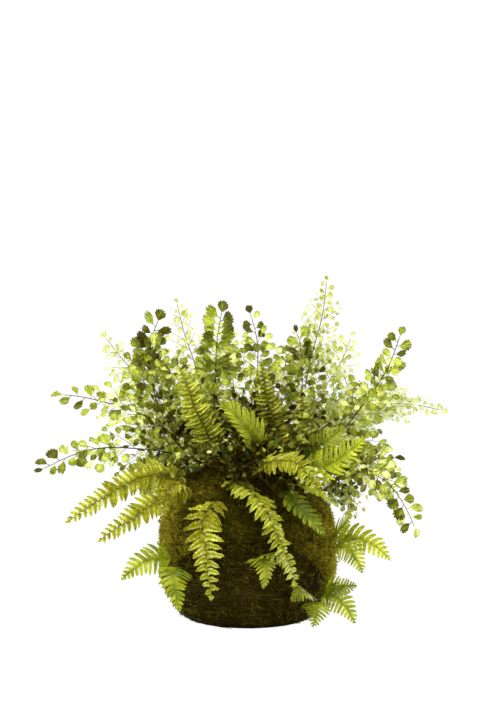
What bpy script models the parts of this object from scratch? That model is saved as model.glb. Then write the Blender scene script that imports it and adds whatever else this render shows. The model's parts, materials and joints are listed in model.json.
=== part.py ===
"""Mixed ferns in a round twig basket.

A bowl wound from fine twigs, with sheet moss tied over its shoulder, holds a plastic liner full of
potting soil under a mound of moss. Four kinds of fern frond stand in sockets in the mound, and small
leather fern fronds grow out through the basket's wall. Metres, +Z up, the floor at Z = 0, the basket's
axis on Z, and the side that faces the viewer at -Y.
"""

import math

import bmesh
import bpy
from mathutils import Vector

MM = 0.001
GAP = 0.4 * MM  # between pieces that touch

# Basket: a squat bowl whose outline is a superellipse on a flat base
BELLY_RADIUS = 99.5 * MM
BELLY_HEIGHT = 78 * MM
BELOW_BELLY = 95 * MM  # half-height that the outline would have below the belly
ABOVE_BELLY = 84 * MM  # the same above it
OUTLINE_POWER = 3.0
BASKET_HEIGHT = 140 * MM
BASKET_WALL = 7 * MM
BASKET_FLOOR = 8 * MM
TWIG_COILS = 9  # wound rings that show on the outside
COIL_GROOVE = 1.6 * MM
ROUND_STEPS = 36

# Sheet moss over the basket's shoulder: short in front, hanging low at the sides and back
WRAP_THICKNESS = 3.4 * MM
WRAP_CLEARANCE = 1.0 * MM  # to the basket at the wrap's corners, less between them
WRAP_TOP = 138 * MM
WRAP_FRONT_EDGE = 116 * MM
WRAP_SIDE_EDGE = 34 * MM
WRAP_ROWS = 8

# Liner, a tapered plastic cup with drain holes
LINER_FLOOR_RADIUS = 64 * MM
LINER_MOUTH_RADIUS = 74 * MM
LINER_BOTTOM = BASKET_FLOOR + GAP
LINER_TOP = 134 * MM
LINER_WALL = 1.6 * MM
DRAIN_HOLES = 5
DRAIN_RADIUS = 4 * MM
DRAIN_CIRCLE = 40 * MM

# Moss mound: half an ellipsoid that rests on the basket's rim, with the soil's dome under it
MOUND_RADIUS = 88 * MM
MOUND_RIM = BASKET_HEIGHT + GAP
MOUND_TOP = 186 * MM
MOSS_DEPTH = 13 * MM
DOME_RINGS = 6

# Fronds, as plain blades of even thickness
STEM_WIDTH = 2.0 * MM
BLADE_THICKNESS = 1.2 * MM
SOCKET_RADIUS = 1.9 * MM
SOCKET_SIDES = 6
STEM_IN_SOIL = 34 * MM
STEM_IN_WALL = 6 * MM

# kind: lobes a side, share of the route that is bare stem, half-width, how deep the notches between
# lobes go (1 reaches the midrib), whether the lobes alternate, and where along the blade it is widest
KINDS = {
    "maidenhair": dict(lobes=7, bare=0.36, half=24 * MM, notch=0.93, alternate=True, widest=0.30),
    "fine_maidenhair": dict(lobes=7, bare=0.40, half=20 * MM, notch=0.93, alternate=True, widest=0.30),
    "sword_fern": dict(lobes=9, bare=0.12, half=18 * MM, notch=0.55, alternate=False, widest=0.35),
    "leather_fern": dict(lobes=6, bare=0.22, half=14 * MM, notch=0.45, alternate=False, widest=0.28),
}

# The planting plan, in millimetres: where a stem leaves the mound (x, y), the middle and the tip of its
# route (x, y, z), and how far the blade's face is rolled about its midrib from facing up, in degrees.
MOUND_FRONDS = [
    ("maidenhair", (-56, -8), (-145, -25, 208), (-255, -40, 176), 65),
    ("maidenhair", (-50, 8), (-134, 0, 245), (-233, 0, 267), 65),
    ("maidenhair", (-48, 24), (-116, 30, 272), (-105, 50, 364), 60),
    ("maidenhair", (-24, 26), (-42, 40, 268), (-28, 62, 380), 0),
    ("maidenhair", (4, 18), (14, 26, 285), (0, 40, 372), 0),
    ("maidenhair", (34, 16), (66, 22, 275), (56, 24, 348), -70),
    ("maidenhair", (58, 4), (138, 8, 250), (186, 0, 350), -60),
    ("maidenhair", (64, -14), (142, -36, 184), (202, -60, 100), -60),
    ("maidenhair", (66, 2), (128, -8, 190), (184, -6, 190), -60),
    ("maidenhair", (58, 32), (122, 66, 238), (112, 78, 294), -50),
    ("maidenhair", (-68, -14), (-102, -28, 181), (-122, -34, 160), 50),
    ("maidenhair", (-14, 66), (-50, 134, 250), (-92, 205, 268), 0),
    ("maidenhair", (22, 62), (42, 128, 272), (62, 190, 312), 0),
    ("maidenhair", (54, 50), (114, 118, 236), (170, 174, 226), 0),
    ("maidenhair", (-56, 44), (-116, 112, 222), (-178, 166, 212), 0),
    ("maidenhair", (-34, -4), (-76, 8, 262), (-84, 14, 318), 70),
    ("fine_maidenhair", (-44, 38), (-122, 55, 268), (-178, 60, 335), 75),
    ("fine_maidenhair", (-36, 54), (-66, 80, 290), (-90, 96, 378), 50),
    ("fine_maidenhair", (44, 34), (78, 42, 300), (97, 40, 408), -80),
    ("fine_maidenhair", (54, 20), (132, 34, 245), (245, 36, 242), -60),
    ("fine_maidenhair", (36, 54), (98, 86, 268), (133, 110, 333), -55),
    ("fine_maidenhair", (-58, 28), (-124, 84, 230), (-170, 120, 282), 45),
    ("fine_maidenhair", (64, 36), (142, 90, 234), (196, 114, 264), -50),
    ("fine_maidenhair", (-8, 48), (-18, 112, 280), (-34, 165, 345), 0),
    ("fine_maidenhair", (74, 18), (114, 24, 156), (130, 26, 110), -60),
    ("sword_fern", (-62, -30), (-130, -58, 172), (-207, -80, 128), 60),
    ("sword_fern", (-60, -46), (-112, -84, 146), (-168, -108, 112), 60),
    ("sword_fern", (-32, -80), (-50, -118, 130), (-42, -124, 50), 0),
    ("sword_fern", (-34, -52), (16, -119, 150), (53, -132, 65), 0),
    ("sword_fern", (-6, -60), (38, -112, 204), (80, -135, 170), -10),
    ("sword_fern", (-36, -32), (-55, -48, 240), (-80, -50, 302), 105),
    ("sword_fern", (36, -20), (29, -20, 235), (16, -20, 303), 85),
    ("sword_fern", (-66, -52), (-84, -86, 172), (-102, -98, 132), 20),
    ("sword_fern", (48, 6), (70, 12, 215), (64, 20, 266), -50),
    ("sword_fern", (-50, 56), (-84, 116, 186), (-108, 164, 122), 0),
    ("sword_fern", (34, 66), (60, 130, 200), (86, 190, 142), 0),
    ("sword_fern", (72, 26), (130, 62, 186), (190, 92, 132), 0),
    ("leather_fern", (18, -40), (2, -68, 228), (-35, -82, 268), 130),
    ("leather_fern", (44, -34), (92, -62, 190), (136, -90, 228), -115),
    ("leather_fern", (54, -14), (84, -28, 206), (116, -35, 232), -105),
    ("leather_fern", (38, -68), (60, -108, 146), (87, -122, 117), -20),
    ("leather_fern", (48, -54), (70, -86, 166), (104, -100, 146), 0),
]

# The same for the small fronds that leave the basket's wall: the compass angle in degrees from +X and the
# height of the socket, then middle, tip and roll as above.
WALL_FRONDS = [
    ("leather_fern", (214, 76), (-116, -74, 80), (-148, -82, 58), 60),
    ("leather_fern", (219, 70), (-86, -92, 62), (-79, -98, 24), 10),
    ("leather_fern", (270, 84), (18, -126, 88), (17, -124, 57), 0),
    ("leather_fern", (276, 86), (32, -126, 96), (50, -128, 72), 0),
    ("leather_fern", (349, 90), (136, -27, 96), (170, -36, 72), -60),
    ("leather_fern", (345, 84), (120, -42, 86), (135, -52, 60), -60),
    ("leather_fern", (352, 98), (114, -32, 114), (122, -42, 132), -70),
    ("leather_fern", (326, 30), (104, -80, 36), (124, -88, 8), -50),
    ("leather_fern", (330, 38), (106, -64, 46), (128, -64, 48), -60),
    ("leather_fern", (320, 26), (80, -94, 30), (74, -100, 7), 0),
    ("leather_fern", (312, 40), (64, -100, 48), (48, -109, 40), 30),
    ("leather_fern", (118, 70), (-62, 120, 78), (-70, 136, 40), 0),
    ("leather_fern", (60, 60), (70, 112, 66), (92, 132, 30), 0),
]

COLOURS = {  # sRGB
    "twigs": "3A3010",
    "moss": "4E4A12",
    "liner": "1E1E1C",
    "soil": "2A1D12",
    "maidenhair": "7C8C34",
    "fine_maidenhair": "AEBB6A",
    "sword_fern": "90941F",
    "leather_fern": "7F9628",
}


def linear(channel):
    return channel / 12.92 if channel <= 0.04045 else ((channel + 0.055) / 1.055) ** 2.4


def material(name, roughness=0.7):
    """A plain finish of one colour, made once for each name in COLOURS."""
    made = bpy.data.materials.get(name)
    if made:
        return made
    made = bpy.data.materials.new(name)
    made.use_nodes = True
    shader = made.node_tree.nodes["Principled BSDF"]
    red, green, blue = (int(COLOURS[name][i : i + 2], 16) / 255 for i in (0, 2, 4))
    shader.inputs["Base Color"].default_value = (linear(red), linear(green), linear(blue), 1)
    shader.inputs["Roughness"].default_value = roughness
    shader.inputs["Metallic"].default_value = 0
    return made


def new_collection(name):
    made = bpy.data.collections.new(name)
    bpy.context.scene.collection.children.link(made)
    return made


def place(name, mesh, collection, finish=None, location=(0, 0, 0), parent=None):
    obj = bpy.data.objects.new(name, mesh)
    collection.objects.link(obj)
    obj.location = location
    obj.parent = parent
    if finish:
        mesh.materials.append(material(finish))
    return obj


def turned(name, profile, finish, collection, parent=None):
    """A solid of revolution. The profile is (radius, height) points that run down the outer side."""
    mesh = bpy.data.meshes.new(name)
    edges = [(i, i + 1) for i in range(len(profile) - 1)]
    mesh.from_pydata([(radius, 0, height) for radius, height in profile], edges, [])
    obj = place(name, mesh, collection, finish, parent=parent)
    screw = obj.modifiers.new("turn", "SCREW")
    screw.steps = screw.render_steps = ROUND_STEPS
    screw.use_merge_vertices = True
    screw.merge_threshold = 0.01 * MM
    return obj


def cut(obj, cutters):
    """Takes every cutter in a collection out of the object."""
    boolean = obj.modifiers.new("sockets", "BOOLEAN")
    boolean.operation = "DIFFERENCE"
    boolean.operand_type = "COLLECTION"
    boolean.collection = cutters


def rod_cutter(name, start, end, radius, sides, collection):
    """A straight prism from start to end that cuts a socket or a hole."""
    bm = bmesh.new()
    bmesh.ops.create_cone(
        bm,
        cap_ends=True,
        segments=sides,
        radius1=radius,
        radius2=radius,
        depth=(end - start).length,
    )
    mesh = bpy.data.meshes.new(name)
    bm.to_mesh(mesh)
    bm.free()
    obj = place(name, mesh, collection, location=(start + end) / 2)
    obj.rotation_mode = "QUATERNION"
    obj.rotation_quaternion = (end - start).to_track_quat("Z", "Y")
    obj.hide_render = True
    obj.display_type = "WIRE"
    return obj


def basket_radius(height):
    """Outside of the basket at a height."""
    half = BELOW_BELLY if height < BELLY_HEIGHT else ABOVE_BELLY
    share = abs(height - BELLY_HEIGHT) / half
    return BELLY_RADIUS * (1 - share**OUTLINE_POWER) ** (1 / OUTLINE_POWER)


def mound_height(radius):
    """Top of the moss mound at a distance from the basket's axis."""
    return MOUND_RIM + (MOUND_TOP - MOUND_RIM) * math.sqrt(1 - (radius / MOUND_RADIUS) ** 2)


def dome(depth=0.0):
    """(radius, height) points of the mound's top, or of a surface that lies this far under it, from
    its rim to the axis."""
    radius = MOUND_RADIUS - depth
    rise = MOUND_TOP - depth - MOUND_RIM
    turns = [math.pi / 2 * i / DOME_RINGS for i in range(DOME_RINGS)]
    slope = [(radius * math.cos(turn), MOUND_RIM + rise * math.sin(turn)) for turn in turns]
    return slope + [(0, MOUND_RIM + rise)]


def make_basket(collection, parent):
    inner = [(0, BASKET_FLOOR)]
    for share in (0.0, 0.12, 0.35, 0.65, 0.88, 1.0):
        height = BASKET_FLOOR + share * (BASKET_HEIGHT - BASKET_FLOOR)
        inner.append((basket_radius(height) - BASKET_WALL, height))
    outer = []
    for i in range(2 * TWIG_COILS + 1):
        height = BASKET_HEIGHT * (1 - i / (2 * TWIG_COILS))
        groove = COIL_GROOVE if i % 2 == 0 else 0
        outer.append((basket_radius(height) - groove, height))
    return turned("twig_basket", inner + outer + [(0, 0)], "twigs", collection, parent)


def make_liner(collection, parent, drains):
    floor = LINER_BOTTOM + LINER_WALL
    profile = [
        (0, floor),
        (LINER_FLOOR_RADIUS - LINER_WALL, floor),
        (LINER_MOUTH_RADIUS - LINER_WALL, LINER_TOP),
        (LINER_MOUTH_RADIUS, LINER_TOP),
        (LINER_FLOOR_RADIUS, LINER_BOTTOM),
        (0, LINER_BOTTOM),
    ]
    for i in range(DRAIN_HOLES):
        angle = math.tau * (i + 0.5) / DRAIN_HOLES
        centre = Vector((math.cos(angle), math.sin(angle), 0)) * DRAIN_CIRCLE
        low = centre + Vector((0, 0, LINER_BOTTOM - 2 * MM))
        high = centre + Vector((0, 0, floor + 2 * MM))
        rod_cutter(f"drain_cutter_{i + 1}", low, high, DRAIN_RADIUS, 10, drains)
    liner = turned("pot_liner", profile, "liner", collection, parent)
    cut(liner, drains)
    return liner


def make_soil(collection, parent):
    """Soil fills the liner and domes up under the moss."""
    mouth = LINER_MOUTH_RADIUS - LINER_WALL - GAP
    bottom = LINER_BOTTOM + LINER_WALL + GAP
    top = [point for point in reversed(dome(MOSS_DEPTH + GAP)) if point[0] < mouth]
    sides = [(mouth, LINER_TOP), (LINER_FLOOR_RADIUS - LINER_WALL - GAP, bottom)]
    return turned("potting_soil", top + sides + [(0, bottom)], "soil", collection, parent)


def make_mound(collection, parent):
    """A moss cap on the basket's rim, hollow underneath where the soil's dome fits."""
    hollow = LINER_MOUTH_RADIUS + GAP
    under = [point for point in dome(MOSS_DEPTH) if point[0] < hollow]
    profile = list(reversed(dome())) + [(hollow, MOUND_RIM)] + under
    return turned("moss_mound", profile, "moss", collection, parent)


def wrap_edge(angle):
    """Height of the sheet moss's lower edge at a compass angle: high in front, with a slow ripple."""
    front = max(0.0, -math.sin(angle)) ** 1.5
    ripple = 7 * MM * math.sin(5 * angle + 0.6) + 4 * MM * math.sin(9 * angle)
    return WRAP_SIDE_EDGE + (WRAP_FRONT_EDGE - WRAP_SIDE_EDGE) * front + ripple * (1 - 0.6 * front)


def make_wrap(collection, parent):
    """Sheet moss tied round the basket: a ring of grid cells on the wall, thickened outwards."""
    bm = bmesh.new()
    rings = []
    for row in range(WRAP_ROWS + 1):
        ring = []
        for column in range(ROUND_STEPS):
            angle = math.tau * column / ROUND_STEPS
            low = wrap_edge(angle)
            height = low + (WRAP_TOP - low) * row / WRAP_ROWS
            radius = basket_radius(height) + WRAP_CLEARANCE
            ring.append(bm.verts.new((radius * math.cos(angle), radius * math.sin(angle), height)))
        rings.append(ring)
        if row:
            bmesh.ops.bridge_loops(bm, edges=loop_edges(bm, rings[-2]) + loop_edges(bm, ring))
    bmesh.ops.recalc_face_normals(bm, faces=bm.faces)
    mesh = bpy.data.meshes.new("moss_wrap")
    bm.to_mesh(mesh)
    bm.free()
    mesh.shade_smooth()
    obj = place("moss_wrap", mesh, collection, "moss", parent=parent)
    solidify = obj.modifiers.new("thickness", "SOLIDIFY")
    solidify.thickness = WRAP_THICKNESS
    solidify.offset = 1
    return obj


def loop_edges(bm, ring):
    """The closed loop of edges through a ring of vertices, made where it isn't there yet."""
    pairs = zip(ring, ring[1:] + ring[:1])
    return [bm.edges.get(pair) or bm.edges.new(pair) for pair in pairs]


def route(root, middle, tip, share):
    """Point on the parabola that starts at root, passes middle half-way and ends at tip."""
    bend = 2 * middle - (root + tip) / 2
    return root * (1 - share) ** 2 + bend * 2 * share * (1 - share) + tip * share**2


def heading(root, middle, tip, share):
    step = 0.01
    ahead = route(root, middle, tip, min(share + step, 1))
    return (ahead - route(root, middle, tip, max(share - step, 0))).normalized()


def outline(kind, share):
    """Share of the full half-width at a place along the blade, 0 at its base and 1 at its tip."""
    widest = kind["widest"]
    if share < widest:
        return 0.55 + 0.45 * math.sin(math.pi / 2 * share / widest)
    return math.cos(math.pi / 2 * (share - widest) / (1 - widest)) ** 0.8


def blade_rows(kind):
    """(share of the route, left half-width, right half-width) for each row of a frond."""
    stem = STEM_WIDTH / 2
    rows = [(kind["bare"] * i / 4, stem, stem) for i in range(5)]
    steps = 2 * kind["lobes"]
    for i in range(1, steps):
        share = i / steps
        full = kind["half"] * outline(kind, share)
        wide = max(full, stem)
        narrow = max(full * (1 - kind["notch"]), stem)
        left = wide if i % 2 else narrow
        right = (narrow if i % 2 else wide) if kind["alternate"] else left
        rows.append((kind["bare"] + (1 - kind["bare"]) * share, left, right))
    rows.append((1.0, stem, stem))
    return rows


def make_frond(name, kind_name, root, middle, tip, roll, buried, collection, parent):
    """One frond, stem and blade in one: a strip along its route, two vertices wide, thickened."""
    kind = KINDS[kind_name]
    start = heading(root, middle, tip, 0)
    outward = Vector(((tip - root).x, (tip - root).y, 0)).normalized()
    across = Vector((0, 0, 1)).cross(outward)
    rows = [(None, STEM_WIDTH / 2, STEM_WIDTH / 2)] + blade_rows(kind)
    bm = bmesh.new()
    bmesh.ops.create_grid(bm, x_segments=1, y_segments=len(rows) - 1, size=1)
    for index, vertex in enumerate(sorted(bm.verts, key=lambda v: (v.co.y, v.co.x))):
        share, left, right = rows[index // 2]
        if share is None:
            centre, along = root - start * buried, start
        else:
            centre, along = route(root, middle, tip, share), heading(root, middle, tip, share)
        face = along.cross(across).normalized()
        side = face.cross(along)
        turn = math.radians(roll)
        side = side * math.cos(turn) - face * math.sin(turn)
        vertex.co = centre - root + side * (left if index % 2 else -right)
    mesh = bpy.data.meshes.new(name)
    bm.to_mesh(mesh)
    bm.free()
    obj = place(name, mesh, collection, kind_name, location=root, parent=parent)
    solidify = obj.modifiers.new("thickness", "SOLIDIFY")
    solidify.thickness = BLADE_THICKNESS
    solidify.offset = 0
    return start


def make_fronds(collection, parent, mound_sockets, wall_sockets):
    counts = dict.fromkeys(KINDS, 0)
    plan = [(False, *row) for row in MOUND_FRONDS] + [(True, *row) for row in WALL_FRONDS]
    for in_wall, kind_name, place_at, middle, tip, roll in plan:
        counts[kind_name] += 1
        name = f"{kind_name}_frond_{counts[kind_name]:02d}"
        if in_wall:
            angle, height = math.radians(place_at[0]), place_at[1] * MM
            radius = basket_radius(height) + WRAP_THICKNESS
            root = Vector((radius * math.cos(angle), radius * math.sin(angle), height))
            buried, sockets = STEM_IN_WALL, wall_sockets
        else:
            across = Vector(place_at) * MM
            root = Vector((across.x, across.y, mound_height(across.length)))
            buried, sockets = STEM_IN_SOIL, mound_sockets
        middle, tip = Vector(middle) * MM, Vector(tip) * MM
        start = make_frond(name, kind_name, root, middle, tip, roll, buried, collection, parent)
        low = root - start * (buried + 2 * MM)
        rod_cutter(name + "_cutter", low, root + start * 12 * MM, SOCKET_RADIUS, SOCKET_SIDES, sockets)


def main():
    for obj in list(bpy.data.objects):
        bpy.data.objects.remove(obj)
    planter = new_collection("fern_in_twig_basket")
    drains = new_collection("drain_cutters")
    mound_sockets = new_collection("mound_socket_cutters")
    wall_sockets = new_collection("wall_socket_cutters")
    axis = bpy.data.objects.new("basket_axis", None)
    planter.objects.link(axis)
    basket = make_basket(planter, axis)
    wrap = make_wrap(planter, axis)
    make_liner(planter, axis, drains)
    soil = make_soil(planter, axis)
    mound = make_mound(planter, axis)
    make_fronds(planter, axis, mound_sockets, wall_sockets)
    for holder in (soil, mound):
        cut(holder, mound_sockets)
    for holder in (basket, wrap):
        cut(holder, wall_sockets)


main()
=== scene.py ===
"""The looks of a mixed fern arrangement in a round twig basket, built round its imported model.

Each frond is grown along the same route as its plain blade in the model: leaflets on stalks for the
maidenhair and sword ferns, one lobed sheet for the leather ferns. The basket is a wall wound with twigs
and felted with rootlets and moss. Metres, +Z up, the front at -Y.
"""

import json
import math
import random
from collections import namedtuple

import bpy
import numpy as np
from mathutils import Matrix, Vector, noise

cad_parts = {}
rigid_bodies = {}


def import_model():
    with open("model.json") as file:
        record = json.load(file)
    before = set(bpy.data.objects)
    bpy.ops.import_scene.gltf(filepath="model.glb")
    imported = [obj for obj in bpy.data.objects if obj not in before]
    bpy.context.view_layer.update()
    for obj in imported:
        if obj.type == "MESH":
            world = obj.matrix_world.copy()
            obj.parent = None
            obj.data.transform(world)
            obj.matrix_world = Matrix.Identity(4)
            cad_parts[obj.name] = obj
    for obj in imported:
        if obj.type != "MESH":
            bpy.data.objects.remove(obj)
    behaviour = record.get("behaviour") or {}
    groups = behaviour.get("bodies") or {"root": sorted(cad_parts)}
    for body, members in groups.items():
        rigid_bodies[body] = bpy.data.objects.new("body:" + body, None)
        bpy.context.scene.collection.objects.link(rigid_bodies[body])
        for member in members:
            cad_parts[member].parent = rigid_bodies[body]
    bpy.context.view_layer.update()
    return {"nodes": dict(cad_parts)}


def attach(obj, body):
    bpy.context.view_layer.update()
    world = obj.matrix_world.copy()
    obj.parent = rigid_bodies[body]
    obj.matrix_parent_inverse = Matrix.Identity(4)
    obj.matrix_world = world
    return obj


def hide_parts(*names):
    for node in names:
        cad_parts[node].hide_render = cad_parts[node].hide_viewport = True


MM = 0.001

# ------------ sizes the model was drawn with

BELLY_RADIUS = 99.5 * MM
BELLY_HEIGHT = 78 * MM
BELOW_BELLY = 95 * MM
ABOVE_BELLY = 84 * MM
OUTLINE_POWER = 3.0
BASKET_HEIGHT = 140 * MM
BASKET_WALL = 7 * MM
WRAP_THICKNESS = 3.4 * MM
WRAP_TOP = 138 * MM
WRAP_FRONT_EDGE = 116 * MM
WRAP_SIDE_EDGE = 34 * MM
MOUND_RADIUS = 88 * MM
MOUND_RIM = 140.4 * MM
MOUND_TOP = 186 * MM

SHAPE_SEED, FROND_SEED, SPRAY_SEED, TWIG_SEED = 5, 11, 17, 29

# ------------ planting plan

# The fronds by habit, or by cut for the leather ferns, whose sprigs grow out of the wall. Each row has
# the route in millimetres (where the stem starts, its middle and its tip), the blade's roll in degrees, a
# tone that moves the leaf colour from aged (-1) to young (1), the size of the leaflets and how close they
# stand (under 1 is closer). A stem in the mound starts at (x, y), a sprig at (compass angle, height).
Frond = namedtuple("Frond", "habit start middle tip roll tone size close", defaults=(1.0, 1.0))
PLANTS = {"maidenhair": [
    ((-56, -8), (-145, -25, 208), (-255, -40, 176), 65, -0.2, 1.0, 0.95),
    ((-50, 8), (-134, 0, 245), (-233, 0, 267), 65, -0.05, 0.95, 1.2),
    ((-48, 24), (-116, 30, 272), (-105, 50, 364), 60, -0.38, 1.15, 0.72),
    ((-24, 26), (-42, 40, 268), (-28, 62, 380), 0, -0.06, 1.22, 0.58),
    ((4, 18), (14, 26, 285), (0, 40, 372), 0, -0.25, 0.95, 0.85),
    ((34, 16), (66, 22, 275), (56, 24, 348), -70, -0.5, 0.9, 0.85),
    ((58, 4), (138, 8, 250), (186, 0, 350), -60, -0.1, 1.08, 0.78),
    ((64, -14), (142, -36, 184), (202, -60, 100), -60, -0.05, 1.0, 0.85),
    ((66, 2), (128, -8, 190), (184, -6, 190), -60, -0.12, 0.95, 0.85),
    ((58, 32), (122, 66, 238), (112, 78, 294), -50, 0.1, 0.8),
    ((-68, -14), (-102, -28, 181), (-122, -34, 160), 50, -0.1),
    ((-14, 66), (-50, 134, 250), (-92, 205, 268), 0, -0.2, 0.9, 0.85),
    ((22, 62), (42, 128, 272), (62, 190, 312), 0, -0.3, 0.9, 0.85),
    ((54, 50), (114, 118, 236), (170, 174, 226), 0, 0.0),
    ((-56, 44), (-116, 112, 222), (-178, 166, 212), 0, 0.1),
    ((-34, -4), (-76, 8, 262), (-84, 14, 318), 70, -0.1, 0.8),
], "fine_maidenhair": [
    ((-44, 38), (-122, 55, 268), (-178, 60, 335), 75, 0.4, 1.0, 1.15),
    ((-36, 54), (-66, 80, 290), (-90, 96, 378), 50, 0.5, 1.0, 1.2),
    ((44, 34), (78, 42, 300), (97, 40, 408), -80, 0.05, 1.0, 0.9),
    ((54, 20), (132, 34, 245), (245, 36, 242), -60, 0.42, 1.15, 0.85),
    ((36, 54), (98, 86, 268), (133, 110, 333), -55, 0.4, 1.0, 1.15),
    ((-58, 28), (-124, 84, 230), (-170, 120, 282), 45, 0.4, 1.0, 1.1),
    ((64, 36), (142, 90, 234), (196, 114, 264), -50, 0.45, 1.0, 1.3),
    ((-8, 48), (-18, 112, 280), (-34, 165, 345), 0, 0.3),
    ((74, 18), (114, 24, 156), (130, 26, 110), -60, 0.0),
], "sword_fern": [
    ((-62, -30), (-130, -58, 172), (-207, -80, 128), 75, -0.05, 0.95, 1.02),
    ((-60, -46), (-112, -84, 146), (-168, -108, 112), 70, -0.1, 0.9, 0.98),
    ((-32, -80), (-50, -118, 130), (-42, -124, 50), 0, 0.1, 1.2, 1.4),
    ((-34, -52), (16, -119, 150), (53, -132, 65), 0, 0.25, 1.1, 1.2),
    ((-6, -60), (38, -112, 204), (80, -135, 170), -40, -0.1, 0.9, 1.1),
    ((-36, -32), (-55, -48, 240), (-80, -50, 302), 105, 0.1, 0.95, 0.75),
    ((36, -20), (29, -20, 235), (16, -20, 303), 85, -0.35, 0.9, 0.75),
    ((-66, -52), (-84, -86, 172), (-102, -98, 132), 30, -0.5, 0.75),
    ((48, 6), (70, 12, 215), (64, 20, 266), -50, -0.3, 0.9, 0.8),
    ((-50, 56), (-84, 116, 186), (-108, 164, 122), 0, 0.1, 0.9),
    ((34, 66), (60, 130, 200), (86, 190, 142), 0, 0.2, 0.9),
    ((72, 26), (130, 62, 186), (190, 92, 132), 0, 0.0, 0.8),
], "fused": [
    ((18, -40), (2, -68, 228), (-35, -82, 268), 95, 0.0),
], "comb": [
    ((44, -34), (92, -62, 190), (136, -90, 228), -95, 0.15),
    ((54, -14), (84, -28, 206), (116, -35, 232), -90, -0.15),
], "broad": [
    ((38, -68), (60, -108, 146), (87, -122, 117), -20, -0.35),
    ((48, -54), (70, -86, 166), (104, -100, 146), 0, -0.1),
], "sprig": [
    ((214, 76), (-116, -74, 80), (-148, -82, 58), 60, 0.1),
    ((219, 70), (-86, -92, 62), (-79, -98, 24), 10, -0.15),
    ((270, 84), (18, -126, 88), (17, -124, 57), 0, 0.0),
    ((276, 86), (32, -126, 96), (50, -128, 72), 0, -0.3),
    ((349, 90), (136, -27, 96), (170, -36, 72), -60, 0.3),
    ((345, 84), (120, -42, 86), (135, -52, 60), -60, 0.1),
    ((352, 98), (114, -32, 114), (122, -42, 132), -70, 0.1),
    ((326, 30), (104, -80, 36), (124, -88, 8), -50, 0.0),
    ((330, 38), (106, -64, 46), (128, -64, 48), -60, -0.1),
    ((320, 26), (80, -94, 30), (74, -100, 7), 0, -0.1),
    ((312, 40), (64, -100, 48), (48, -109, 40), 30, -0.2),
    ((118, 70), (-62, 120, 78), (-70, 136, 40), 0, 0.2),
    ((60, 60), (70, 112, 66), (92, 132, 30), 0, 0.2),
]}


def basket_radius(height):
    """Outside of the basket's wall at a height: a superellipse."""
    half = BELOW_BELLY if height < BELLY_HEIGHT else ABOVE_BELLY
    share = abs(height - BELLY_HEIGHT) / half
    return BELLY_RADIUS * (1 - share**OUTLINE_POWER) ** (1 / OUTLINE_POWER)


def mound_height(radius):
    """Top of the moss mound at a distance from the axis: half an ellipsoid."""
    return MOUND_RIM + (MOUND_TOP - MOUND_RIM) * math.sqrt(max(0, 1 - (radius / MOUND_RADIUS) ** 2))


def polar(radius, height, angle):
    return Vector((radius * math.cos(angle), radius * math.sin(angle), height))


class Route:
    """A frond's midrib: the parabola from its root through its middle to its tip."""

    def __init__(self, frond):
        if frond.habit == "sprig":
            angle, height = math.radians(frond.start[0]), frond.start[1] * MM
            self.root = polar(basket_radius(height) + WRAP_THICKNESS, height, angle)
        else:
            flat = Vector(frond.start) * MM
            self.root = Vector((flat.x, flat.y, mound_height(flat.length)))
        self.tip = Vector(frond.tip) * MM
        self.bend = 2 * Vector(frond.middle) * MM - (self.root + self.tip) / 2
        self.roll = math.radians(frond.roll)
        outward = (self.tip - self.root) * Vector((1, 1, 0))
        self.across = Vector((0, 0, 1)).cross(outward.normalized())
        steps = [self.point(i / 40) for i in range(41)]
        self.length = sum((b - a).length for a, b in zip(steps, steps[1:]))

    def point(self, share):
        rest = 1 - share
        return self.root * rest**2 + self.bend * 2 * share * rest + self.tip * share**2

    def along(self, share):
        share = min(max(share, 0), 1)
        return ((self.bend - self.root) * (1 - share) + (self.tip - self.bend) * share).normalized()

    def side_and_face(self, share):
        """The way across the blade and the way its upper face looks, at a place on the midrib."""
        along = self.along(share)
        face = along.cross(self.across).normalized()
        side = face.cross(along)
        side = side * math.cos(self.roll) - face * math.sin(self.roll)
        return side, along.cross(side)


# ------------ meshes


def link_object(name, data, material=None):
    made = bpy.data.objects.new(name, data)
    bpy.context.scene.collection.objects.link(made)
    if material:
        data.materials.append(material)
    return made


def mesh_of(name, points, faces=(), edges=(), uvs=None, smooth=True, **attributes):
    """A mesh with a (u, v) and float or vector attributes for each of its points."""
    mesh = bpy.data.meshes.new(name)
    mesh.from_pydata([tuple(p) for p in points], list(edges), list(faces))
    for key, values in attributes.items():
        values = np.asarray(values, np.float32)
        kind, field = ("FLOAT", "value") if values.ndim == 1 else ("FLOAT_VECTOR", "vector")
        mesh.attributes.new(key, kind, "POINT").data.foreach_set(field, values.ravel())
    if uvs:
        corners = np.empty(len(mesh.loops), np.int32)
        mesh.loops.foreach_get("vertex_index", corners)
        layer = mesh.uv_layers.new(name="UVMap")
        layer.data.foreach_set("uv", np.asarray(uvs, np.float32)[corners].ravel())
    if smooth:
        mesh.shade_smooth()
    return mesh


def patches(first, rows, width, ring=False, loop=False, back=False):
    """The faces between rows of points, counted from first: ring joins each row's end to its start, loop
    the last row to the first one, and back goes round each face the other way."""
    faces = []
    for row in range(rows):
        a, b = first + row * width, first + (0 if loop and row == rows - 1 else row + 1) * width
        for i in range(width if ring else width - 1):
            j = (i + 1) % width
            faces.append((a + i, a + j, b + j, b + i) if back else (a + i, b + i, b + j, a + j))
    return faces


def mirrored(faces, flipped):
    return [face[::-1] for face in faces] if flipped else faces


# ------------ node trees


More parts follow.
